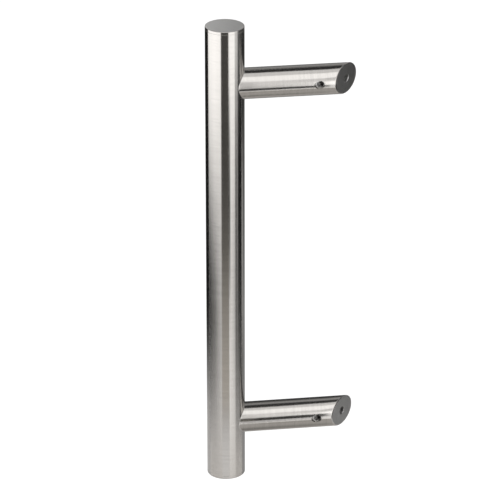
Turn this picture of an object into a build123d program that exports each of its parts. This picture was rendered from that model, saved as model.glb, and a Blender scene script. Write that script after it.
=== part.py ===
# Offset pull handle: a round tubular grip, held clear of the door by two slanting tubular posts
# Millimetres, with +Z up along the grip. The door's face is the plane Y = 0 and the handle stands at Y < 0.
# The origin is on the door's face, midway between the two fixings.
import os
from math import cos, radians, sin, tan

from build123d import *

# Grip tube
grip_diameter = 31.8
grip_overhang = 50.0
grip_wall = 1.5

# End caps, turned discs with a spigot that is pressed into the grip tube
cap_flange = 2.5
cap_edge_chamfer = 0.5
cap_spigot_length = 8.0
cap_spigot_chamfer = 0.6
cap_clearance = 0.05
seam_chamfer = 0.1

# Posts, tubes that are coped and welded to the grip and mitred flat to the door
post_diameter = 25.4
post_wall = 1.5
post_spacing = 300.0
post_lean = 40.0
projection = 91.5
weld_leg = 1.2
foot_edge_break = 0.3

# Plugs that fill the mitred ends of the posts
plug_clearance = 0.05
plug_past_screw = 6.0
plug_chamfer = 0.8

# Fixing hole in each foot, the core hole of an M8 thread drilled square to the door
fixing_hole_diameter = 6.8
fixing_hole_past_screw = 2.2
drill_point_angle = 118.0

# Set screw in each foot, M6, parallel to the door and reached through a clear hole in the post's wall
screw_diameter = 6.0
screw_entry_diameter = 6.6
screw_height = 10.0
screw_length = 16.0
screw_recess = 4.2
screw_clearance = 0.05
screw_chamfer = 0.7
socket_across_flats = 3.0
socket_depth = 3.5

# Sizes that follow from those above
grip_radius = grip_diameter / 2
grip_bore_radius = grip_radius - grip_wall
grip_length = post_spacing + 2 * grip_overhang
tube_length = grip_length - 2 * cap_flange
spigot_radius = grip_bore_radius - cap_clearance
post_radius = post_diameter / 2
post_bore_radius = post_radius - post_wall
plug_radius = post_bore_radius - plug_clearance
fixing_radius = fixing_hole_diameter / 2
fixing_depth = screw_height + fixing_hole_past_screw
drill_point = fixing_radius / tan(radians(drill_point_angle / 2))
screw_hole_radius = screw_diameter / 2
screw_entry_radius = screw_entry_diameter / 2
screw_radius = screw_hole_radius - screw_clearance
lean = radians(post_lean)
axis_projection = projection - grip_radius
grip_offset = axis_projection * tan(lean)
post_length = axis_projection / cos(lean)
mitre_overrun = post_radius * tan(lean)

# Where the set screw's hole, which runs along X, breaks out of the post's side
screw_mouth = (post_radius + screw_height * sin(lean)) / cos(lean)
screw_face = screw_mouth - screw_recess
screw_hole_end = screw_mouth + screw_entry_radius * tan(lean)
# How far up the post that hole reaches, and so how long the plug is
screw_reach = (screw_height + screw_hole_radius + plug_radius * sin(lean)) / cos(lean)
plug_length = screw_reach + plug_past_screw

# The door's face, with its positive side towards the handle
door_face = Plane(origin=(0, 0, 0), x_dir=(1, 0, 0), z_dir=(0, -1, 0))
# Cylinders that start at their plane and run along its normal
from_plane = (Align.CENTER, Align.CENTER, Align.MIN)

os.makedirs("parts", exist_ok=True)

# Grip tube, with a fine chamfer round each mouth that shows as the cap's seam
with BuildPart(Plane((grip_offset, -axis_projection, 0))) as grip_tube:
    Cylinder(grip_radius, tube_length)
    Cylinder(grip_bore_radius, tube_length, mode=Mode.SUBTRACT)
    outer_rims = grip_tube.edges().filter_by(GeomType.CIRCLE).group_by(SortBy.RADIUS)[-1]
    chamfer(outer_rims, seam_chamfer)
grip_tube.part.label = "grip_tube"
export_step(grip_tube.part, "parts/grip_tube.step")

# End caps, each a half profile turned about the grip's axis
for end, outward in (("top", 1), ("bottom", -1)):
    seat = Plane(
        origin=(grip_offset, -axis_projection, outward * tube_length / 2),
        x_dir=(1, 0, 0),
        z_dir=(0, -outward, 0),
    )
    with BuildPart() as cap:
        with BuildSketch(seat) as half_profile:
            with BuildLine():
                Polyline(
                    (0, -cap_spigot_length),
                    (spigot_radius, -cap_spigot_length),
                    (spigot_radius, 0),
                    (grip_radius, 0),
                    (grip_radius, cap_flange),
                    (0, cap_flange),
                    close=True,
                )
            make_face()
            corners = half_profile.vertices()
            rim_corners = corners.group_by(Axis.X)[-1].sort_by(Axis.Y)
            spigot_corner = corners.group_by(Axis.Y)[0].sort_by(Axis.X)[-1]
            chamfer(spigot_corner, cap_spigot_chamfer)
            chamfer(rim_corners[0], seam_chamfer)
            chamfer(rim_corners[-1], cap_edge_chamfer)
        revolve(axis=Axis((grip_offset, -axis_projection, 0), (0, 0, 1)))
    cap.part.label = f"{end}_cap"
    export_step(cap.part, f"parts/{end}_cap.step")

for end, side in (("upper", 1), ("lower", -1)):
    height = side * post_spacing / 2
    # Local Z runs up the post's axis, from the middle of the foot to the grip
    along_post = Plane(origin=(0, 0, height), x_dir=(0, 0, 1), z_dir=(sin(lean), -cos(lean), 0))
    # Local Z runs out of the set screw's hole
    along_screw = Plane(origin=(0, -screw_height, height), x_dir=(0, 0, 1), z_dir=(1, 0, 0))

    # Post, with the weld run left on round its coped end
    with BuildPart() as post:
        with Locations(along_post.offset(-mitre_overrun)):
            Cylinder(post_radius, post_length + mitre_overrun, align=from_plane)
        with Locations((grip_offset, -axis_projection, height)):
            Cylinder(grip_radius, 2 * post_diameter)
        joint_line = post.edges().filter_by(GeomType.BSPLINE)
        chamfer(joint_line, weld_leg)
        with Locations((grip_offset, -axis_projection, height)):
            Cylinder(grip_radius, 2 * post_diameter, mode=Mode.SUBTRACT)
        split(bisect_by=door_face, keep=Keep.TOP)
        foot_rim = post.faces().filter_by(Axis.Y).edges()
        chamfer(foot_rim, foot_edge_break)
        with Locations(along_post.offset(-mitre_overrun)):
            Cylinder(post_bore_radius, post_length + mitre_overrun, align=from_plane, mode=Mode.SUBTRACT)
        with Locations(along_screw):
            Cylinder(screw_entry_radius, screw_hole_end, align=from_plane, mode=Mode.SUBTRACT)
    post.part.label = f"{end}_post"
    export_step(post.part, f"parts/{end}_post.step")

    # Plug, cut flush with the foot, with the drilled fixing hole and the set screw's hole
    with BuildPart() as plug:
        with Locations(along_post.offset(-mitre_overrun)):
            Cylinder(plug_radius, plug_length + mitre_overrun, align=from_plane)
        inner_rim = plug.edges().filter_by(GeomType.CIRCLE).sort_by(Axis.Y)[0]
        chamfer(inner_rim, plug_chamfer)
        split(bisect_by=door_face, keep=Keep.TOP)
        with BuildSketch(Plane.XY.offset(height)):
            with BuildLine():
                Polyline(
                    (0, 0),
                    (fixing_radius, 0),
                    (fixing_radius, -fixing_depth),
                    (0, -fixing_depth - drill_point),
                    close=True,
                )
            make_face()
        revolve(axis=Axis((0, 0, height), (0, 1, 0)), mode=Mode.SUBTRACT)
        with Locations(along_screw):
            Cylinder(screw_hole_radius, screw_hole_end, align=from_plane, mode=Mode.SUBTRACT)
    plug.part.label = f"{end}_plug"
    export_step(plug.part, f"parts/{end}_plug.step")

    # Set screw, wound back clear of the fixing hole, with a hexagon socket in its outer face
    with BuildPart() as grub_screw:
        with Locations(along_screw.offset(screw_face - screw_length)):
            Cylinder(screw_radius, screw_length, align=from_plane)
        screw_rims = grub_screw.edges().filter_by(GeomType.CIRCLE)
        chamfer(screw_rims, screw_chamfer)
        with BuildSketch(along_screw.offset(screw_face)):
            RegularPolygon(socket_across_flats / 2, 6, major_radius=False)
        extrude(amount=-socket_depth, mode=Mode.SUBTRACT)
    grub_screw.part.label = f"{end}_grub_screw"
    export_step(grub_screw.part, f"parts/{end}_grub_screw.step")
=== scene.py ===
"""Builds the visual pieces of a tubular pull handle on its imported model, and a studio to show it in."""

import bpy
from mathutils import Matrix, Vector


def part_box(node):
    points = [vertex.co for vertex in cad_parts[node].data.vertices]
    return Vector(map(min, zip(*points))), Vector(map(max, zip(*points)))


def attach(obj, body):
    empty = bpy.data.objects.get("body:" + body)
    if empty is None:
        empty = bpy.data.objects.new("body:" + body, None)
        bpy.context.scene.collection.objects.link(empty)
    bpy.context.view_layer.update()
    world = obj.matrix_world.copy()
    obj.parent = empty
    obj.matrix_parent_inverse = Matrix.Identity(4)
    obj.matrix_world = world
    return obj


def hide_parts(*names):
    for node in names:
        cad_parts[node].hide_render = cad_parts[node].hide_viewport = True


bl_info = {
    "name": "Offset Pull Handle",
    "version": (1, 0, 0),
    "blender": (4, 5, 0),
    "location": "View3D > Sidebar > Handle",
    "description": "Tubular pull handle with two slanting posts, in satin steel",
    "category": "Object",
}

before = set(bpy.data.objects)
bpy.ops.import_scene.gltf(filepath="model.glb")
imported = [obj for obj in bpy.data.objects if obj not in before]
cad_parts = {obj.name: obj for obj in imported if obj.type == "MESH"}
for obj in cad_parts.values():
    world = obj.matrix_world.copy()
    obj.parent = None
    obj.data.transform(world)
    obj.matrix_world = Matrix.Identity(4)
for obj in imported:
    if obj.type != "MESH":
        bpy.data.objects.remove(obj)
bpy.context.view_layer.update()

from math import ceil, cos, floor, pi, radians, sin, sqrt, tan

import bmesh
import bpy
from bpy.props import FloatProperty, FloatVectorProperty, IntProperty, PointerProperty
from mathutils import Matrix, Vector

ORIGIN = Vector((0, 0, 0))
UP = Vector((0, 0, 1))
SIDEWAYS = Vector((1, 0, 0))
INTO_FOOT = Vector((0, -1, 0))
OUT_OF_SCREW_HOLE = SIDEWAYS

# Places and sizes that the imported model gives, in metres
CAP_LOW, CAP_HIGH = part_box("top_cap")
TUBE_LOW, TUBE_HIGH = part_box("grip_tube")
PLUG_LOW, PLUG_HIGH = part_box("upper_plug")
SCREW_LOW, SCREW_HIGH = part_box("upper_grub_screw")
GRIP_RADIUS = (CAP_HIGH.x - CAP_LOW.x) / 2
GRIP_AXIS = Vector(((CAP_LOW.x + CAP_HIGH.x) / 2, (CAP_LOW.y + CAP_HIGH.y) / 2, 0))
POST_LENGTH = GRIP_AXIS.length
ALONG_POST = GRIP_AXIS.normalized()
POST_LEAN = ALONG_POST.angle(INTO_FOOT)
POST_HEIGHT = (PLUG_LOW.z + PLUG_HIGH.z) / 2
PLUG_RADIUS = (PLUG_HIGH.z - PLUG_LOW.z) / 2
SCREW_RADIUS = (SCREW_HIGH.z - SCREW_LOW.z) / 2
SCREW_PLACE = Vector((0, (SCREW_LOW.y + SCREW_HIGH.y) / 2, 0))
# The two posts, plugs and screws, with the side of the grip's middle that they are on
ENDS = {"upper": 1, "lower": -1}

# How near points are that count as one, before carving and after it
MERGE_DISTANCE = 1e-7
SLIVER = 2e-6
# How near a point lies to a rim that it is on, and the cosine past which a face is facing a direction
ON_RIM = 1e-6
FACING = 0.999
# Corners sharper than this keep a hard edge
SHARP_CORNER = radians(28)
# Steps of a rounded edge, and room for it on a cap's faces, as a multiple of its radius
ROUNDING_STEPS = 6
ROUNDING_ROOM = 1.2

# How far a cutting tool stands past what it cuts, and how far two cuts overlap
TOOL_OVERRUN = 0.002
CUT_OVERLAP = 0.0001
# Ends of the tools for a set screw's hole, outward from the screw's face
ENTRY_DRILL_START = -0.001
ENTRY_DRILL_END = 0.01
SCREW_TAP_END = 0.006
# Faces nearer to a set screw's axis than this many screw radii are in its hole, and take the set screws'
# darker colour as painted shade
HOLE_REACH = 1.02
# Steps in one turn of a thread, and where in a pitch its flank starts and its crest starts and ends
THREAD_STEPS = 36
FLANK_START = 4 / 16
CREST_START = 9 / 16
CREST_END = 11 / 16
# Depth of the two threads and the plain stretch at the bottom of a fixing hole, in pitches
SCREW_THREAD_DEPTH = 0.54
FIXING_THREAD_DEPTH = 0.48
FIXING_RUN_OUT = 2
# Sides of a set screw's socket
SOCKET_SIDES = 6

# Cells of the steel's grain: width across the axis that it runs round, and length along that axis
FINE_LINE_CELL = (0.012, 0.00004)
STREAK_CELL = (0.02, 0.0012)
BLOTCH_CELL = (0.03, 0.03)
# Middle of the noise's range
NOISE_MIDDLE = 0.5
# How far the streaks change the tone, and how far streaks and blotches change the roughness
STREAK_TONE = 0.12
DULLNESS_RANGE = 0.04
# Turns that bring the grain's Z onto the posts' axis and onto X
POST_TURN = (pi / 2, 0, POST_LEAN)
SIDEWAYS_TURN = (0, pi / 2, 0)
# Turn of the drawn-out gloss on the surface, as a share of a full turn
GLOSS_TURN = 0.25


class HandleSizes(bpy.types.PropertyGroup):
    """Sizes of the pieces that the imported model's boxes don't give."""

    segments: IntProperty(name="Segments", description="Sides of every round tube", default=256, min=24)
    grip_wall: FloatProperty(
        name="Grip wall", description="Thickness of the grip tube", default=0.0015, unit="LENGTH"
    )
    seam_chamfer: FloatProperty(
        name="Seam", description="Chamfer either side of a cap's seam", default=0.0001, unit="LENGTH"
    )
    cap_rounding: FloatProperty(
        name="Cap rounding", description="Radius of a cap's outer edge", default=0.0005, unit="LENGTH"
    )
    spigot_chamfer: FloatProperty(
        name="Spigot chamfer", description="Chamfer on the end of a cap's spigot",
        default=0.0006, unit="LENGTH",
    )
    post_diameter: FloatProperty(
        name="Post diameter", description="Outside of the post tubes", default=0.0254, unit="LENGTH"
    )
    post_wall: FloatProperty(
        name="Post wall", description="Thickness of the post tubes", default=0.0015, unit="LENGTH"
    )
    weld_leg: FloatProperty(
        name="Weld", description="Reach of the dressed weld up the post and along the grip",
        default=0.0003, unit="LENGTH",
    )
    foot_edge: FloatProperty(
        name="Foot edge", description="Rounded edge of each mitred foot", default=0.0007, unit="LENGTH"
    )
    plug_chamfer: FloatProperty(
        name="Plug chamfer", description="Chamfer on a plug's inner end", default=0.0008, unit="LENGTH"
    )
    fit_clearance: FloatProperty(
        name="Fit clearance", description="Gap round the spigots, plugs and screws",
        default=0.00005, unit="LENGTH",
    )
    screw_pitch: FloatProperty(
        name="Screw pitch", description="Thread pitch of the set screws", default=0.001, unit="LENGTH"
    )
    screw_entry: FloatProperty(
        name="Screw entry", description="Clear hole for the set screw in a post's wall",
        default=0.0066, unit="LENGTH",
    )
    screw_chamfer: FloatProperty(
        name="Screw chamfer", description="Chamfer on both ends of a set screw",
        default=0.0007, unit="LENGTH",
    )
    socket_across_flats: FloatProperty(
        name="Socket", description="Hexagon socket across its flats", default=0.003, unit="LENGTH"
    )
    socket_depth: FloatProperty(
        name="Socket depth", description="Depth of the hexagon socket", default=0.0035, unit="LENGTH"
    )
    fixing_core: FloatProperty(
        name="Fixing core", description="Core diameter of the fixing thread in each foot",
        default=0.0068, unit="LENGTH",
    )
    fixing_pitch: FloatProperty(
        name="Fixing pitch", description="Thread pitch of the fixing hole", default=0.00125, unit="LENGTH"
    )
    fixing_depth: FloatProperty(
        name="Fixing depth", description="Depth of the fixing hole to its drill point",
        default=0.0122, unit="LENGTH",
    )
    drill_point: FloatProperty(
        name="Drill point", description="Angle of the drill's point", default=radians(118), subtype="ANGLE"
    )


class HandleFinish(bpy.types.PropertyGroup):
    """Colours and grain of the steel, with painted shade in the set screws' colour."""

    satin_colour: FloatVectorProperty(
        name="Satin steel", description="Tubes and cap edges",
        default=(0.54, 0.52, 0.497), subtype="COLOR", size=3,
    )
    face_colour: FloatVectorProperty(
        name="Ground faces", description="Cap faces and feet",
        default=(0.5, 0.495, 0.485), subtype="COLOR", size=3,
    )
    # The set screws' colour is darker than their steel: it is painted shade of the deep hole that they sit
    # in, and the holes' walls use it too
    screw_colour: FloatVectorProperty(
        name="Set screws", description="Machined set screws",
        default=(0.3, 0.295, 0.29), subtype="COLOR", size=3,
    )
    grip_roughness: FloatProperty(
        name="Grip roughness", description="Blur of the grip's gloss",
        default=0.175, subtype="FACTOR", min=0, max=1,
    )
    grip_gloss_length: FloatProperty(
        name="Grip gloss length", description="How far the fine lines draw out the gloss along the grip",
        default=0.6, subtype="FACTOR", min=0, max=1,
    )
    post_roughness: FloatProperty(
        name="Post roughness", description="Blur of the posts' gloss",
        default=0.15, subtype="FACTOR", min=0, max=1,
    )
    face_roughness: FloatProperty(
        name="Face roughness", description="Blur of the ground faces",
        default=0.34, subtype="FACTOR", min=0, max=1,
    )
    screw_roughness: FloatProperty(
        name="Screw roughness", description="Blur of the set screws' gloss",
        default=0.3, subtype="FACTOR", min=0, max=1,
    )
    grain: FloatProperty(
        name="Grain", description="How far the fine lines tilt the surface", default=0.1, min=0
    )
    screw_grain: FloatProperty(
        name="Screw grain", description="How far the turned lines tilt the set screws' surface",
        default=0.2, min=0,
    )


class HandleStage(bpy.types.PropertyGroup):
    """Camera and studio."""

    camera_azimuth: FloatProperty(
        name="Azimuth", description="Camera's turn round the handle",
        default=radians(121.83), subtype="ANGLE",
    )
    camera_elevation: FloatProperty(
        name="Elevation", description="Camera's height as an angle", default=radians(24.05), subtype="ANGLE"
    )
    camera_distance: FloatProperty(
        name="Distance", description="Camera to the point it looks at", default=2.6, unit="LENGTH"
    )
    camera_lens: FloatProperty(name="Lens", description="Focal length in millimetres", default=227.8)
    look_inward: FloatProperty(
        name="Look inward", description="Point looked at, from the grip's axis towards the feet",
        default=0.0204, unit="LENGTH",
    )
    look_height: FloatProperty(
        name="Look height", description="Point looked at, above the grip's middle",
        default=0.00312, unit="LENGTH",
    )
    floor_drop: FloatProperty(
        name="Floor drop", description="Floor below the handle's middle", default=0.65, unit="LENGTH"
    )
    floor_colour: FloatVectorProperty(
        name="Floor", description="Pale floor", default=(0.8, 0.8, 0.8), subtype="COLOR", size=3
    )


def sizes():
    """The handle's sizes in the open scene."""
    return bpy.context.scene.pull_handle_sizes


def colours():
    """The handle's finish in the open scene."""
    return bpy.context.scene.pull_handle_finish


class Wire:
    """An output socket. Arithmetic on it adds Math nodes to its tree."""

    def __init__(self, finish, socket):
        self.finish = finish
        self.socket = socket

    def math(self, operation, first, second):
        return self.finish.node("Math", {"operation": operation}, {0: first, 1: second})

    def __add__(self, other):
        return self.math("ADD", self, other)

    def __radd__(self, other):
        return self.math("ADD", other, self)

    def __sub__(self, other):
        return self.math("SUBTRACT", self, other)

    def __rsub__(self, other):
        return self.math("SUBTRACT", other, self)

    def __mul__(self, other):
        return self.math("MULTIPLY", self, other)

    def __rmul__(self, other):
        return self.math("MULTIPLY", other, self)


class Finish:
    """The cleared node tree of a material or the world, with one way to add a node."""

    def __init__(self, owner):
        owner.use_nodes = True
        self.owner = owner
        self.tree = owner.node_tree
        self.tree.nodes.clear()

    def node(self, kind, settings=None, sockets=None, output=0):
        made = self.tree.nodes.new("ShaderNode" + kind)
        for name, value in (settings or {}).items():
            if name == "stops":
                self.set_stops(made.color_ramp, value)
            else:
                setattr(made, name, value)
        for name, value in (sockets or {}).items():
            if isinstance(value, Wire):
                self.tree.links.new(value.socket, made.inputs[name])
            else:
                made.inputs[name].default_value = value
        return Wire(self, made.outputs[output]) if made.outputs else None

    def set_stops(self, ramp, stops):
        while len(ramp.elements) < len(stops):
            ramp.elements.new(1.0)
        for element, (position, level) in zip(ramp.elements, stops):
            element.position = position
            element.color = (level, level, level, 1)


def grain_noise(finish, turn, around, along):
    """Noise stretched round an axis: cells are `around` wide across it and `along` long on it."""
    place = finish.node("TexCoord", output="Object")
    cell = finish.node(
        "Mapping", {"vector_type": "TEXTURE"},
        {"Vector": place, "Rotation": turn, "Scale": (around, around, along)},
    )
    return finish.node(
        "TexNoise", sockets={"Vector": cell, "Scale": 1.0, "Detail": 3.0, "Roughness": 0.6}
    )


def brushed_steel(name, colour, axis, turn, roughness, depth, drawn_out=0.0):
    """Steel whose fine lines run round `axis`; `turn` brings the pattern's Z onto that axis."""
    if name in bpy.data.materials:
        return bpy.data.materials[name]
    finish = Finish(bpy.data.materials.new(name))
    fine_lines = grain_noise(finish, turn, *FINE_LINE_CELL)
    streaks = grain_noise(finish, turn, *STREAK_CELL)
    blotches = grain_noise(finish, turn, *BLOTCH_CELL)
    # The lines tilt the surface along the axis only, so reflections smear that way and stay crisp across
    tilt = (fine_lines - NOISE_MIDDLE) * depth
    surface = finish.node("NewGeometry", output="Normal")
    lean = finish.node("VectorMath", {"operation": "SCALE"}, {0: axis, "Scale": tilt})
    leaning = finish.node("VectorMath", {"operation": "ADD"}, {0: surface, 1: lean})
    normal = finish.node("VectorMath", {"operation": "NORMALIZE"}, {0: leaning})
    darker = [channel * (1 - STREAK_TONE) for channel in colour]
    lighter = [channel * (1 + STREAK_TONE) for channel in colour]
    tone = finish.node(
        "Mix", {"data_type": "RGBA"}, {0: streaks, 6: (*darker, 1), 7: (*lighter, 1)}, output=2
    )
    streaked = (streaks - NOISE_MIDDLE) * DULLNESS_RANGE
    blotched = (blotches - NOISE_MIDDLE) * DULLNESS_RANGE
    dullness = streaked + blotched + roughness
    shader = finish.node(
        "BsdfPrincipled",
        sockets={
            "Base Color": tone, "Metallic": 1.0, "Roughness": dullness, "Normal": normal,
            "Anisotropic": drawn_out, "Anisotropic Rotation": GLOSS_TURN,
        },
    )
    finish.node("OutputMaterial", sockets={"Surface": shader})
    return finish.owner


def satin_for_grip():
    """Satin of the grip and the caps' edges, with lines round the grip."""
    return brushed_steel(
        "satin_round_grip", colours().satin_colour, UP, (0, 0, 0),
        colours().grip_roughness, colours().grain, colours().grip_gloss_length,
    )


def satin_for_posts():
    """Satin of the posts, with lines round them."""
    return brushed_steel(
        "satin_round_posts", colours().satin_colour, ALONG_POST, POST_TURN,
        colours().post_roughness, colours().grain,
    )


def ground_for_feet():
    """Duller finish of the mitred feet and their plugs."""
    return brushed_steel(
        "ground_foot_face", colours().face_colour, ALONG_POST, POST_TURN,
        colours().face_roughness, colours().grain,
    )


def ground_for_caps():
    """Duller finish of the caps' flat faces, with lines straight across them."""
    return brushed_steel(
        "ground_cap_face", colours().face_colour, SIDEWAYS, SIDEWAYS_TURN,
        colours().face_roughness, colours().grain,
    )


def machined_for_screws():
    """Set screws and the holes that they turn in, darker than the steel's own tone: painted shade of the
    deep hole.
    """
    return brushed_steel(
        "machined_set_screw", colours().screw_colour, OUT_OF_SCREW_HOLE, SIDEWAYS_TURN,
        colours().screw_roughness, colours().screw_grain,
    )


def upright_frame(direction, origin=ORIGIN):
    """Matrix whose Z runs along a level direction and whose X points up."""
    turn = Matrix((UP, direction.cross(UP), direction)).transposed().to_4x4()
    return Matrix.Translation(origin) @ turn


def to_object(bm, name):
    """Turns a bmesh into an object at the origin."""
    bmesh.ops.recalc_face_normals(bm, faces=bm.faces)
    mesh = bpy.data.meshes.new(name)
    bm.to_mesh(mesh)
    bm.free()
    made = bpy.data.objects.new(name, mesh)
    bpy.context.scene.collection.objects.link(made)
    return made


def carve(piece, tool, operation):
    """Applies a boolean with a tool object, which is then thrown away."""
    step = piece.modifiers.new("carve", "BOOLEAN")
    step.operation = operation
    step.solver = "EXACT"
    step.object = tool
    carved = bpy.data.meshes.new_from_object(piece.evaluated_get(bpy.context.evaluated_depsgraph_get()))
    plain = piece.data
    carved.name = plain.name + "_carved"
    piece.modifiers.clear()
    piece.data = carved
    bpy.data.meshes.remove(plain)
    bpy.data.meshes.remove(tool.data)


def weld_slivers(piece):
    """Closes the needle faces that carving leaves along its cuts."""
    bm = bmesh.new()
    bm.from_mesh(piece.data)
    bmesh.ops.triangulate(bm, faces=bm.faces)
    bmesh.ops.remove_doubles(bm, verts=bm.verts, dist=SLIVER)
    bmesh.ops.dissolve_degenerate(bm, edges=bm.edges, dist=SLIVER)
    bm.to_mesh(piece.data)
    bm.free()


def place_pair(model, name, node, materials):
    """Puts a copy of a piece that was modelled midway at each end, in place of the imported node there."""
    weld_slivers(model)
    for end, side in ENDS.items():
        mesh = model.data.copy()
        mesh.transform(Matrix.Translation(UP * side * POST_HEIGHT))
        piece = bpy.data.objects.new(name.format(end), mesh)
        bpy.context.scene.collection.objects.link(piece)
        dress(piece, materials)
        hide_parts(node.format(end))
    bpy.data.meshes.remove(model.data)


def mark(piece, index, test):
    """Gives the faces that pass a test the material at an index."""
    for polygon in piece.data.polygons:
        if test(polygon):
            polygon.material_index = index


def dress(piece, materials):
    """Gives a piece its materials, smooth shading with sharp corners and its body."""
    for material in materials:
        piece.data.materials.append(material)
    piece.data.shade_smooth()
    piece.data.set_sharp_from_angle(angle=SHARP_CORNER)
    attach(piece, "root")


def turned(bm, outline, axis, closed=False):
    """Spins an outline of (radius, height) points round an upright axis."""
    points = [bm.verts.new((axis.x + radius, axis.y, height)) for radius, height in outline]
    ends = points[1:] + points[:1] if closed else points[1:]
    lines = [bm.edges.new(pair) for pair in zip(points, ends)]
    bmesh.ops.spin(
        bm, geom=points + lines, cent=axis, axis=UP, dvec=ORIGIN, angle=2 * pi,
        steps=sizes().segments, use_merge=True, use_normal_flip=False, use_duplicate=False,
    )
    bmesh.ops.remove_doubles(bm, verts=bm.verts, dist=MERGE_DISTANCE)


def threaded_bar(crest, root, pitch, start, end):
    """A bar along Z with a screw thread, cut square at both ends."""
    bm = bmesh.new()
    first = (floor(start / pitch) - 1) * pitch
    outline = ((root, 0), (root, FLANK_START), (crest, CREST_START), (crest, CREST_END), (root, 1))
    points = [bm.verts.new((radius, 0, first + share * pitch)) for radius, share in outline]
    lines = [bm.edges.new(pair) for pair in zip(points, points[1:])]
    turns = ceil((end - first) / pitch) + 1
    bmesh.ops.spin(
        bm, geom=points + lines, cent=ORIGIN, axis=UP, dvec=UP * pitch / THREAD_STEPS, angle=2 * pi * turns,
        steps=THREAD_STEPS * turns, use_merge=False, use_normal_flip=False, use_duplicate=False,
    )
    bmesh.ops.remove_doubles(bm, verts=bm.verts, dist=MERGE_DISTANCE)
    for height, outward in ((start, -UP), (end, UP)):
        bmesh.ops.bisect_plane(
            bm, geom=bm.verts[:] + bm.edges[:] + bm.faces[:], dist=MERGE_DISTANCE,
            plane_co=UP * height, plane_no=outward, clear_outer=True,
        )
    bmesh.ops.holes_fill(bm, edges=[edge for edge in bm.edges if edge.is_boundary], sides=0)
    return bm


def set_ring(points, radius, level):
    """Sets points on a circle round Z, each at the level that its side offset gives."""
    for point in points:
        spot = point.co.to_2d().normalized() * radius
        point.co = (spot.x, spot.y, level(spot.y))


def add_ring(bm, edges, radius, level):
    """Extrudes a loop of edges into a new ring, and returns that ring's edges."""
    made = bmesh.ops.extrude_edge_only(bm, edges=edges)["geom"]
    points = {item for item in made if isinstance(item, bmesh.types.BMVert)}
    set_ring(points, radius, level)
    return [item for item in made if isinstance(item, bmesh.types.BMEdge) and set(item.verts) <= points]


def mitre(offset):
    """Level of the door's face along a post, by the side offset from the post's axis."""
    return -offset * tan(POST_LEAN)


def cope(offset):
    """Level at which a post meets the grip, by the side offset from the post's axis."""
    return POST_LENGTH - sqrt(GRIP_RADIUS ** 2 - offset ** 2)


def screw_thread(grown):
    """Crest and root radius of the set screw's thread, grown by a clearance for its hole."""
    crest = SCREW_RADIUS + grown
    return crest, crest - sizes().screw_pitch * SCREW_THREAD_DEPTH


class MakeGrip(bpy.types.Operator):
    """Makes the grip tube"""

    bl_idname = "pull_handle.make_grip"
    bl_label = "Grip"

    def execute(self, context):
        low, high, seam = TUBE_LOW.z, TUBE_HIGH.z, sizes().seam_chamfer
        bore = GRIP_RADIUS - sizes().grip_wall
        outline = (
            (bore, low), (GRIP_RADIUS - seam, low), (GRIP_RADIUS, low + seam),
            (GRIP_RADIUS, high - seam), (GRIP_RADIUS - seam, high), (bore, high),
        )
        bm = bmesh.new()
        turned(bm, outline, GRIP_AXIS, closed=True)
        grip = to_object(bm, "satin_grip_tube")
        dress(grip, [satin_for_grip()])
        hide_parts("grip_tube")
        return {"FINISHED"}


class MakeCaps(bpy.types.Operator):
    """Makes the two end caps, with a rounded rim and a spigot inside the tube"""

    bl_idname = "pull_handle.make_caps"
    bl_label = "End caps"

    def on_rim(self, place, face):
        reach = (place - GRIP_AXIS).to_2d().length
        return abs(reach - GRIP_RADIUS) < ON_RIM and abs(place.z - face) < ON_RIM

    def execute(self, context):
        rounding, seam, chamfer = sizes().cap_rounding, sizes().seam_chamfer, sizes().spigot_chamfer
        spigot = GRIP_RADIUS - sizes().grip_wall - sizes().fit_clearance
        room = rounding * ROUNDING_ROOM
        face, seat, inner = CAP_HIGH.z, TUBE_HIGH.z, CAP_LOW.z
        finishes = [satin_for_grip(), ground_for_caps()]
        for end, side in (("top", 1), ("bottom", -1)):
            outline = (
                (0, face), (GRIP_RADIUS - room, face), (GRIP_RADIUS, face), (GRIP_RADIUS, face - room),
                (GRIP_RADIUS, seat + seam), (GRIP_RADIUS - seam, seat), (spigot, seat),
                (spigot, inner + chamfer), (spigot - chamfer, inner), (0, inner),
            )
            bm = bmesh.new()
            turned(bm, [(radius, side * height) for radius, height in outline], GRIP_AXIS)
            rim = [
                edge for edge in bm.edges
                if all(self.on_rim(point.co, side * face) for point in edge.verts)
            ]
            bmesh.ops.bevel(
                bm, geom=rim, offset=rounding, offset_type="OFFSET", affect="EDGES", segments=ROUNDING_STEPS,
                profile=0.5, material=-1, clamp_overlap=False,
            )
            cap = to_object(bm, f"satin_{end}_cap")
            mark(cap, 1, lambda polygon: polygon.normal.z * side > FACING)
            dress(cap, finishes)
            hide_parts(f"{end}_cap")
        return {"FINISHED"}


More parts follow.
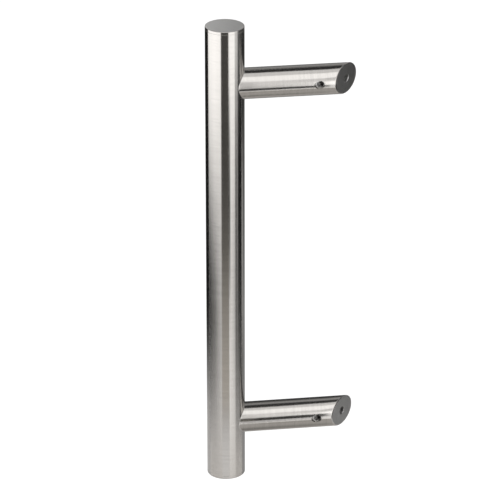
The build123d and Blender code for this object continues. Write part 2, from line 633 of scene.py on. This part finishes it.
class MakePosts(bpy.types.Operator):
    """Makes the two posts, coped and welded to the grip, mitred to the door and drilled for screws"""

    bl_idname = "pull_handle.make_posts"
    bl_label = "Posts"
    wall_rings = 8
    weld_rings = 8

    def model(self):
        outer = sizes().post_diameter / 2
        bore = outer - sizes().post_wall
        edge, weld = sizes().foot_edge, sizes().weld_leg
        bm = bmesh.new()
        circle = bmesh.ops.create_circle(bm, cap_ends=False, segments=sizes().segments, radius=bore)
        set_ring(circle["verts"], bore, mitre)
        foot = bm.edges[:]
        ring = foot
        for step in range(ROUNDING_STEPS + 1):
            turn = step / ROUNDING_STEPS * pi / 2
            inset, rise = edge * (1 - sin(turn)), edge * (1 - cos(turn))
            ring = add_ring(bm, ring, outer - inset, lambda offset: mitre(offset) + rise)
        for step in range(1, self.wall_rings + 1):
            share = step / self.wall_rings
            ring = add_ring(
                bm, ring, outer,
                lambda offset: (1 - share) * (mitre(offset) + edge) + share * (cope(offset) - weld),
            )
        for step in range(1, self.weld_rings + 1):
            share = step / self.weld_rings
            ring = add_ring(
                bm, ring, outer + weld * share ** 2, lambda offset: cope(offset) - weld * (1 - share) ** 2
            )
        ring = add_ring(bm, ring, bore, cope)
        bmesh.ops.bridge_loops(bm, edges=foot + ring)
        return bm

    def entry_drill(self):
        radius = sizes().screw_entry / 2
        bm = bmesh.new()
        start, end = SCREW_HIGH.x + ENTRY_DRILL_START, SCREW_HIGH.x + ENTRY_DRILL_END
        turned(bm, ((0, start), (radius, start), (radius, end), (0, end)), ORIGIN)
        bmesh.ops.transform(bm, matrix=upright_frame(OUT_OF_SCREW_HOLE, SCREW_PLACE), verts=bm.verts)
        return to_object(bm, "entry_drill")

    def execute(self, context):
        bm = self.model()
        bmesh.ops.transform(bm, matrix=upright_frame(ALONG_POST), verts=bm.verts)
        post = to_object(bm, "post")
        carve(post, self.entry_drill(), "DIFFERENCE")
        mark(post, 1, lambda polygon: polygon.normal.y > FACING)
        finishes = [satin_for_posts(), ground_for_feet()]
        place_pair(post, "satin_{}_post", "{}_post", finishes)
        return {"FINISHED"}


class MakePlugs(bpy.types.Operator):
    """Makes the two plugs that fill the feet, drilled and tapped for the fixings and the set screws"""

    bl_idname = "pull_handle.make_plugs"
    bl_label = "Foot plugs"

    def model(self):
        chamfer = sizes().plug_chamfer
        length = (-PLUG_LOW.y - (PLUG_RADIUS - chamfer) * sin(POST_LEAN)) / cos(POST_LEAN)
        bm = bmesh.new()
        circle = bmesh.ops.create_circle(bm, cap_ends=True, segments=sizes().segments, radius=PLUG_RADIUS)
        set_ring(circle["verts"], PLUG_RADIUS, mitre)
        ring = add_ring(bm, bm.edges[:], PLUG_RADIUS, lambda offset: length - chamfer)
        ring = add_ring(bm, ring, PLUG_RADIUS - chamfer, lambda offset: length)
        bmesh.ops.edgeloop_fill(bm, edges=ring)
        return bm

    def drill(self):
        core, depth = sizes().fixing_core / 2, sizes().fixing_depth
        point = core / tan(sizes().drill_point / 2)
        bm = bmesh.new()
        start = -TOOL_OVERRUN
        turned(bm, ((0, start), (core, start), (core, depth), (0, depth + point)), ORIGIN)
        bmesh.ops.transform(bm, matrix=upright_frame(INTO_FOOT), verts=bm.verts)
        return to_object(bm, "fixing_drill")

    def tap(self):
        core, pitch = sizes().fixing_core / 2, sizes().fixing_pitch
        end = sizes().fixing_depth - FIXING_RUN_OUT * pitch
        bm = threaded_bar(core + pitch * FIXING_THREAD_DEPTH, core - CUT_OVERLAP, pitch, -TOOL_OVERRUN, end)
        bmesh.ops.transform(bm, matrix=upright_frame(INTO_FOOT), verts=bm.verts)
        return to_object(bm, "fixing_tap")

    def screw_tap(self):
        crest, root = screw_thread(sizes().fit_clearance)
        bm = threaded_bar(crest, root, sizes().screw_pitch, 0, SCREW_HIGH.x + SCREW_TAP_END)
        bmesh.ops.transform(bm, matrix=upright_frame(OUT_OF_SCREW_HOLE, SCREW_PLACE), verts=bm.verts)
        return to_object(bm, "screw_tap")

    def is_screw_hole(self, polygon):
        return (polygon.center - SCREW_PLACE).yz.length < SCREW_RADIUS * HOLE_REACH

    def execute(self, context):
        bm = self.model()
        bmesh.ops.transform(bm, matrix=upright_frame(ALONG_POST), verts=bm.verts)
        plug = to_object(bm, "plug")
        carve(plug, self.drill(), "DIFFERENCE")
        carve(plug, self.tap(), "DIFFERENCE")
        carve(plug, self.screw_tap(), "DIFFERENCE")
        # The walls of the tapped hole take the set screws' darker colour: painted shade in the recess
        mark(plug, 1, self.is_screw_hole)
        finishes = [ground_for_feet(), machined_for_screws()]
        place_pair(plug, "ground_{}_plug", "{}_plug", finishes)
        return {"FINISHED"}


class MakeSetScrews(bpy.types.Operator):
    """Makes the two set screws, threaded, with a hexagon socket"""

    bl_idname = "pull_handle.make_set_screws"
    bl_label = "Set screws"

    def blank(self, tip, face):
        chamfer = sizes().screw_chamfer
        bm = bmesh.new()
        outline = (
            (0, tip), (SCREW_RADIUS - chamfer, tip), (SCREW_RADIUS, tip + chamfer),
            (SCREW_RADIUS, face - chamfer), (SCREW_RADIUS - chamfer, face), (0, face),
        )
        turned(bm, outline, ORIGIN)
        return to_object(bm, "screw_blank")

    def socket(self, face):
        bm = bmesh.new()
        corner = sizes().socket_across_flats / sqrt(3)
        bmesh.ops.create_cone(
            bm, cap_ends=True, segments=SOCKET_SIDES, radius1=corner, radius2=corner,
            depth=2 * sizes().socket_depth,
        )
        bmesh.ops.translate(bm, vec=UP * face, verts=bm.verts)
        return to_object(bm, "socket_punch")

    def execute(self, context):
        tip, face = SCREW_LOW.x, SCREW_HIGH.x
        crest, root = screw_thread(0)
        root -= sizes().fit_clearance
        bm = threaded_bar(crest, root, sizes().screw_pitch, tip - TOOL_OVERRUN, face + TOOL_OVERRUN)
        screw = to_object(bm, "set_screw")
        carve(screw, self.blank(tip, face), "INTERSECT")
        carve(screw, self.socket(face), "DIFFERENCE")
        screw.data.transform(upright_frame(OUT_OF_SCREW_HOLE, SCREW_PLACE))
        # Each set screw takes the darker colour, which is painted shade of its hole
        place_pair(screw, "machined_{}_set_screw", "{}_grub_screw", [machined_for_screws()])
        return {"FINISHED"}


# Tints of the cards that the steel reflects
NEUTRAL = (1, 1, 1, 1)
WARM = (1, 0.95, 0.87, 1)
PALE_WARM = (1, 0.97, 0.93, 1)
# Distances of the rings of cards from the grip's axis, and the level at which the tall cards stand
FAR_RING = 0.9
BACK_RING = 0.55
FLAG_RING = 0.52
NEAR_RING = 0.15
CARD_FOOT = -0.64
# Stretches of glow that cards share, as heights from the handle's middle with the glow at each
SOFTBOX_TOP = ((0.12, 2), (0.3, 1), (0.6, 0.9))
LEFT_FADE = (
    (CARD_FOOT, 1.2), (-0.6, 0.7), (-0.52, 0.2), (-0.46, 0), (-0.4, 0.08), (-0.33, 0.85), (-0.24, 1.7),
    (-0.18, 1.95), *SOFTBOX_TOP,
)
CENTRE_FADE = ((-0.205, 0.63), (-0.158, 0.54), (-0.104, 0.38), (-0.05, 0.16), (0.02, 0.07), (0.26, 0.06))
CENTRE_FOOT = ((-0.29, 0.93), (-0.24, 0.93), (-0.205, 0.63))
POST_FADE = ((CARD_FOOT, 0.7), (-0.18, 0.75), (0.07, 1.0), (0.3, 1.15), (0.6, 1.2))
FLAG = ((-0.25, 0.02), (-0.06, 0.02))
FLAG_END = ((-0.25, 0.9), (-0.06, 1.1))
ABOVE = ((0.25, 0.5), (0.4, 0.76), (0.6, 0.3), (0.9, 0.1))
ABOVE_BEHIND_POSTS = ((0.25, 0.14), (0.4, 0.34), (0.6, 0.38), (0.9, 0.1))
ABOVE_BEHIND_DISC = ((0.25, 0.7), (0.4, 1.1), (0.6, 0.45), (0.9, 0.1))
ABOVE_LEFT = ((0.25, 0.1), (0.4, 0.3), (0.9, 0.1))
# Each card: name, first and last bearing from the camera's side in degrees, ring, tint, and the glow up its
# first edge and up its last edge
CARDS = (
    (
        "left_softbox_edge", -110, -65, FAR_RING, NEUTRAL,
        (
            (CARD_FOOT, 0.85), (-0.6, 0.5), (-0.55, 0.25), (-0.51, 0), (-0.37, 0), (-0.33, 0.3),
            (-0.24, 1.25), (-0.18, 1.75), *SOFTBOX_TOP,
        ),
        LEFT_FADE,
    ),
    (
        "left_softbox", -65, -19, FAR_RING, NEUTRAL,
        LEFT_FADE,
        (
            (CARD_FOOT, 1.3), (-0.6, 1.0), (-0.45, 0.68), (-0.38, 0.82), (-0.33, 1.05), (-0.24, 1.4),
            (-0.18, 1.8), *SOFTBOX_TOP,
        ),
    ),
    ("near_dark_card", -21, 21, NEAR_RING, WARM, CENTRE_FADE, CENTRE_FADE),
    ("near_grey_card", -21, 21, NEAR_RING, NEUTRAL, CENTRE_FOOT, CENTRE_FOOT),
    ("post_softbox", -19, 22, FAR_RING, NEUTRAL, POST_FADE, POST_FADE),
    (
        "right_softbox", 22, 60, FAR_RING, NEUTRAL,
        ((CARD_FOOT, 1.45), (-0.36, 1.3), (-0.29, 1.4), (-0.2, 1.6), (-0.15, 1.85), *SOFTBOX_TOP),
        (
            (CARD_FOOT, 1.45), (-0.58, 1.05), (-0.46, 0.5), (-0.38, 0.6), (-0.29, 1.15), (-0.2, 1.6),
            (-0.15, 1.85), *SOFTBOX_TOP,
        ),
    ),
    (
        "right_grey_card", 60, 72, FAR_RING, NEUTRAL,
        (
            (CARD_FOOT, 1.0), (-0.58, 0.4), (-0.5, 0.25), (-0.3, 0.2), (-0.24, 0.25), (-0.2, 0.5),
            (-0.15, 1.3), (0.6, 1.4),
        ),
        (
            (CARD_FOOT, 0.75), (-0.58, 0.25), (-0.5, 0.15), (-0.3, 0.0), (-0.24, 0.1), (-0.2, 0.35),
            (-0.15, 1.1), (0.6, 1.1),
        ),
    ),
    (
        "right_strip", 72, 80, FAR_RING, NEUTRAL,
        (
            (CARD_FOOT, 0.7), (-0.58, 0.3), (-0.46, 0.2), (-0.38, 0.35), (-0.3, 0.6), (-0.22, 0.35),
            (-0.15, 1.1), (0.6, 1.1),
        ),
        (
            (CARD_FOOT, 0.7), (-0.58, 0.3), (-0.46, 0.2), (-0.38, 0.25), (-0.3, 0.35), (-0.22, 0.2),
            (-0.15, 1.0), (0.6, 1.0),
        ),
    ),
    (
        "right_dark_card", 80, 112, FAR_RING, NEUTRAL,
        (
            (CARD_FOOT, 0.65), (-0.58, 0.35), (-0.5, 0.1), (-0.42, 0.0), (-0.2, 0.0), (-0.15, 0.25),
            (0.6, 0.35),
        ),
        ((CARD_FOOT, 0.6), (-0.58, 0.2), (-0.5, 0.03), (-0.42, 0.0), (0.6, 0.0)),
    ),
    (
        "back_grey_card", 112, 128, BACK_RING, NEUTRAL,
        (
            (CARD_FOOT, 0.45), (-0.43, 0.5), (-0.4, 0.35), (-0.36, 0.2), (-0.3, 0.25), (-0.14, 0.2),
            (-0.1, 0.02), (0.1, 0.02), *ABOVE,
        ),
        (
            (CARD_FOOT, 0.45), (-0.43, 0.4), (-0.4, 0.3), (-0.36, 0.15), (-0.32, 0.5), (-0.2, 0.6),
            (-0.14, 0.4), (-0.09, 0.02), (0.1, 0.02), *ABOVE,
        ),
    ),
    (
        "back_dim_card", 128, 180, BACK_RING, NEUTRAL,
        (
            (CARD_FOOT, 0.45), (-0.41, 0.4), (-0.36, 0.28), (-0.3, 0.4), (-0.25, 0.25), (-0.12, 0.15),
            (-0.05, 0.05), (0.1, 0.05), *ABOVE,
        ),
        ((CARD_FOOT, 0.35), (-0.38, 0.2), (-0.2, 0.03), (0.1, 0.08), *ABOVE_BEHIND_POSTS),
    ),
    (
        "back_dark_card", 180, 250, BACK_RING, NEUTRAL,
        (
            (CARD_FOOT, 0.75), (-0.42, 0.65), (-0.38, 0.3), (-0.34, 0.1), (-0.3, 0.02), (0.1, 0.05),
            *ABOVE_BEHIND_DISC,
        ),
        (
            (CARD_FOOT, 0.75), (-0.42, 0.65), (-0.38, 0.35), (-0.34, 0.08), (-0.31, 0.0), (0.1, 0.0),
            *ABOVE_LEFT,
        ),
    ),
    ("front_flag", 8, 27, FLAG_RING, NEUTRAL, FLAG, FLAG),
    ("front_flag_end", 27, 32, FLAG_RING, NEUTRAL, FLAG, FLAG_END),
)
# Strongest glow of any card, and the degrees between the upright lines of its mesh
GLOW_PEAK = 2.0
CARD_STEP = 3
# Table that only reflections see: glow at distances from the grip's axis, sides, and height above the floor
TABLE_FADE = ((0, 0.14), (0.1, 0.3), (0.25, 0.5), (0.45, 0.55), (0.7, 0.45), (0.78, 0.65), (0.88, 1.3))
TABLE_RADIUS = TABLE_FADE[-1][0]
TABLE_SIDES = 96
TABLE_RISE = 0.005
# Dark flag above and behind the handle: half its width and depth, bearing, distance from the grip's axis,
# height above the handle's middle, and glow at distances from the grip's axis
BACK_FLAG_HALVES = (0.8, 0.25, 1)
BACK_FLAG_BEARING = 180
BACK_FLAG_DISTANCE = 0.35
BACK_FLAG_HEIGHT = 1.0
BACK_FLAG_FADE = ((0, 0.04), (2, 0.06))
# Half the floor's width, and its darkest tone as a share of its colour
FLOOR_REACH = 12
FLOOR_DARKEST = 0.985
# Strength of the white background for rays that don't see it directly
BACKGROUND_LIGHT = 0.7
# Softbox that lights the handle: sides, power, bearing, angle above the level, and distance
KEY_SIDES = (1.1, 1.0)
KEY_POWER = 2.1
KEY_BEARING = 17
KEY_RISE = radians(42)
KEY_DISTANCE = 1.1
# Width of the camera's sensor in millimetres
SENSOR_WIDTH = 36


class MakeStage(bpy.types.Operator):
    """Makes the floor, the light, the cards that the steel reflects, and the camera"""

    bl_idname = "pull_handle.make_stage"
    bl_label = "Stage"

    def ramp(self, finish, measure, stops):
        """A glow that follows a measure in metres through its stops, as a share of the peak."""
        low, high = stops[0][0], stops[-1][0]
        share = (measure - low) * (1 / (high - low))
        levels = [((place - low) / (high - low), level / GLOW_PEAK) for place, level in stops]
        return finish.node("ValToRGB", {"stops": levels}, {0: share})

    def glowing(self, finish, colour):
        """The finish as a material that glows in a colour."""
        shader = finish.node("Emission", sockets={"Color": colour, "Strength": GLOW_PEAK})
        finish.node("OutputMaterial", sockets={"Surface": shader})
        return finish.owner

    def tinted(self, finish, glow, tint):
        """A grey glow with a tint."""
        return finish.node(
            "Mix", {"data_type": "RGBA", "blend_type": "MULTIPLY"}, {0: 1.0, 6: glow, 7: tint}, output=2
        )

    def height_of(self, finish):
        """Height from the handle's middle."""
        place = finish.node("TexCoord", output="Object")
        return finish.node("SeparateXYZ", sockets={0: place}, output="Z")

    def reach_of(self, finish):
        """Level distance from the grip's axis."""
        place = finish.node("TexCoord", output="Object")
        level = finish.node("VectorMath", {"operation": "MULTIPLY"}, {0: place, 1: (1, 1, 0)})
        return finish.node(
            "VectorMath", {"operation": "DISTANCE"}, {0: level, 1: GRIP_AXIS}, output="Value"
        )

    def reflected_only(self, card, material):
        """Dresses a card that shows in reflections and lights nothing else."""
        card.data.materials.append(material)
        card.visible_camera = False
        card.visible_diffuse = False
        card.visible_shadow = False

    def bearing(self, azimuth, degrees, distance):
        """Point at a distance from the grip's axis, at a bearing from the camera's side."""
        angle = azimuth + radians(degrees)
        return GRIP_AXIS + Vector((sin(angle), -cos(angle), 0)) * distance

    def card(self, azimuth, name, first, last, ring, tint, first_edge, last_edge):
        """Makes a card that is a stretch of a ring, with a glow that changes up and across it."""
        span = radians(last - first)
        bm = bmesh.new()
        foot = self.bearing(azimuth, first, ring)
        ends = [bm.verts.new(foot + UP * stop[0]) for stop in (first_edge[0], first_edge[-1])]
        line = bm.edges.new(ends)
        bmesh.ops.spin(
            bm, geom=ends + [line], cent=GRIP_AXIS, axis=UP, dvec=ORIGIN, angle=span,
            steps=ceil((last - first) / CARD_STEP),
            use_merge=False, use_normal_flip=False, use_duplicate=False,
        )
        share = bm.verts.layers.float.new("share")
        start = (foot - GRIP_AXIS).to_2d()
        for point in bm.verts:
            turn = start.angle((point.co - GRIP_AXIS).to_2d(), 0)
            point[share] = turn / span
        finish = Finish(bpy.data.materials.new(name))
        height = self.height_of(finish)
        across = finish.node("Attribute", {"attribute_name": "share"}, output="Fac")
        first_glow = self.ramp(finish, height, first_edge)
        last_glow = self.ramp(finish, height, last_edge)
        glow = finish.node("Mix", {"data_type": "RGBA"}, {0: across, 6: first_glow, 7: last_glow}, output=2)
        self.reflected_only(to_object(bm, name), self.glowing(finish, self.tinted(finish, glow, tint)))

    def table(self, floor_drop):
        bm = bmesh.new()
        bmesh.ops.create_circle(bm, cap_ends=True, segments=TABLE_SIDES, radius=TABLE_RADIUS)
        bmesh.ops.translate(bm, vec=GRIP_AXIS + UP * (TABLE_RISE - floor_drop), verts=bm.verts)
        finish = Finish(bpy.data.materials.new("low_table"))
        glow = self.tinted(finish, self.ramp(finish, self.reach_of(finish), TABLE_FADE), PALE_WARM)
        self.reflected_only(to_object(bm, "low_table"), self.glowing(finish, glow))

    def back_flag(self, azimuth):
        bm = bmesh.new()
        bmesh.ops.create_grid(bm, x_segments=1, y_segments=1, size=1)
        bmesh.ops.scale(bm, vec=BACK_FLAG_HALVES, verts=bm.verts)
        middle = self.bearing(azimuth, BACK_FLAG_BEARING, BACK_FLAG_DISTANCE) + UP * BACK_FLAG_HEIGHT
        bmesh.ops.transform(
            bm, matrix=Matrix.Translation(middle) @ Matrix.Rotation(azimuth, 4, "Z"), verts=bm.verts
        )
        finish = Finish(bpy.data.materials.new("back_flag"))
        glow = self.ramp(finish, self.reach_of(finish), BACK_FLAG_FADE)
        self.reflected_only(to_object(bm, "back_flag"), self.glowing(finish, glow))

    def seen_white(self, finish):
        """1 for rays that see the background itself: from the camera, in a gloss or through glass."""
        names = ("Is Camera Ray", "Is Glossy Ray", "Is Transmission Ray")
        direct, glossy, through = (finish.node("LightPath", output=name) for name in names)
        return direct.math("MAXIMUM", direct.math("MAXIMUM", direct, glossy), through)

    def floor(self, drop, colour):
        bm = bmesh.new()
        bmesh.ops.create_grid(bm, x_segments=1, y_segments=1, size=FLOOR_REACH)
        bmesh.ops.translate(bm, vec=UP * -drop, verts=bm.verts)
        ground = to_object(bm, "pale_floor")
        finish = Finish(bpy.data.materials.new("pale_floor"))
        place = finish.node("TexCoord", output="Object")
        mottle = finish.node("TexNoise", sockets={"Vector": place, "Scale": 3.0, "Detail": 2.0})
        darkest = [channel * FLOOR_DARKEST for channel in colour]
        tone = finish.node(
            "Mix", {"data_type": "RGBA"}, {0: mottle, 6: (*darkest, 1), 7: (*colour, 1)}, output=2
        )
        shader = finish.node(
            "BsdfPrincipled",
            sockets={
                "Base Color": tone, "Roughness": 0.9,
                "Emission Color": self.seen_white(finish), "Emission Strength": 0.5,
            },
        )
        finish.node("OutputMaterial", sockets={"Surface": shader})
        ground.data.materials.append(finish.owner)

    def world(self):
        world = bpy.data.worlds.new("white_studio")
        bpy.context.scene.world = world
        finish = Finish(world)
        seen = self.seen_white(finish)
        strength = seen * (1 - BACKGROUND_LIGHT) + BACKGROUND_LIGHT
        shader = finish.node("Background", sockets={"Color": NEUTRAL, "Strength": strength})
        finish.node("OutputWorld", sockets={"Surface": shader})

    def key_light(self, azimuth):
        lamp = bpy.data.lights.new("key_softbox", "AREA")
        lamp.shape = "RECTANGLE"
        lamp.size, lamp.size_y = KEY_SIDES
        lamp.energy = KEY_POWER
        made = bpy.data.objects.new("key_softbox", lamp)
        reach, height = KEY_DISTANCE * cos(KEY_RISE), KEY_DISTANCE * sin(KEY_RISE)
        made.location = self.bearing(azimuth, KEY_BEARING, reach) + UP * height
        made.rotation_euler = (made.location - GRIP_AXIS).to_track_quat("Z", "Y").to_euler()
        made.visible_camera = False
        bpy.context.scene.collection.objects.link(made)

    def camera(self, stage):
        azimuth, elevation = stage.camera_azimuth, stage.camera_elevation
        back = Vector((sin(azimuth) * cos(elevation), -cos(azimuth) * cos(elevation), sin(elevation)))
        target = GRIP_AXIS - ALONG_POST * stage.look_inward + UP * stage.look_height
        data = bpy.data.cameras.new("camera")
        data.sensor_width = SENSOR_WIDTH
        data.lens = stage.camera_lens
        made = bpy.data.objects.new("camera", data)
        made.location = target + back * stage.camera_distance
        made.rotation_euler = back.to_track_quat("Z", "Y").to_euler()
        bpy.context.scene.collection.objects.link(made)
        bpy.context.scene.camera = made

    def execute(self, context):
        stage = context.scene.pull_handle_stage
        self.floor(stage.floor_drop, stage.floor_colour)
        for card in CARDS:
            self.card(stage.camera_azimuth, *card)
        self.table(stage.floor_drop)
        self.back_flag(stage.camera_azimuth)
        self.world()
        self.key_light(stage.camera_azimuth)
        self.camera(stage)
        context.scene.view_settings.view_transform = "Standard"
        return {"FINISHED"}


STEPS = (MakeGrip, MakeCaps, MakePosts, MakePlugs, MakeSetScrews, MakeStage)
GROUPS = {
    "pull_handle_sizes": HandleSizes,
    "pull_handle_finish": HandleFinish,
    "pull_handle_stage": HandleStage,
}


class HandlePanel(bpy.types.Panel):
    """Lists the handle's pieces and settings"""

    bl_idname = "VIEW3D_PT_pull_handle"
    bl_label = "Pull handle"
    bl_space_type = "VIEW_3D"
    bl_region_type = "UI"
    bl_category = "Handle"

    def draw(self, context):
        for step in STEPS:
            self.layout.operator(step.bl_idname)
        for name, kind in GROUPS.items():
            box = self.layout.box()
            for setting in kind.__annotations__:
                box.prop(getattr(context.scene, name), setting)


CLASSES = (*GROUPS.values(), *STEPS, HandlePanel)


def register():
    for item in CLASSES:
        bpy.utils.register_class(item)
    for name, group in GROUPS.items():
        setattr(bpy.types.Scene, name, PointerProperty(type=group))


def unregister():
    for name in GROUPS:
        delattr(bpy.types.Scene, name)
    for item in reversed(CLASSES):
        bpy.utils.unregister_class(item)


def main():
    register()
    bpy.ops.pull_handle.make_grip()
    bpy.ops.pull_handle.make_caps()
    bpy.ops.pull_handle.make_posts()
    bpy.ops.pull_handle.make_plugs()
    bpy.ops.pull_handle.make_set_screws()
    bpy.ops.pull_handle.make_stage()


if __name__ == "__main__":
    main()
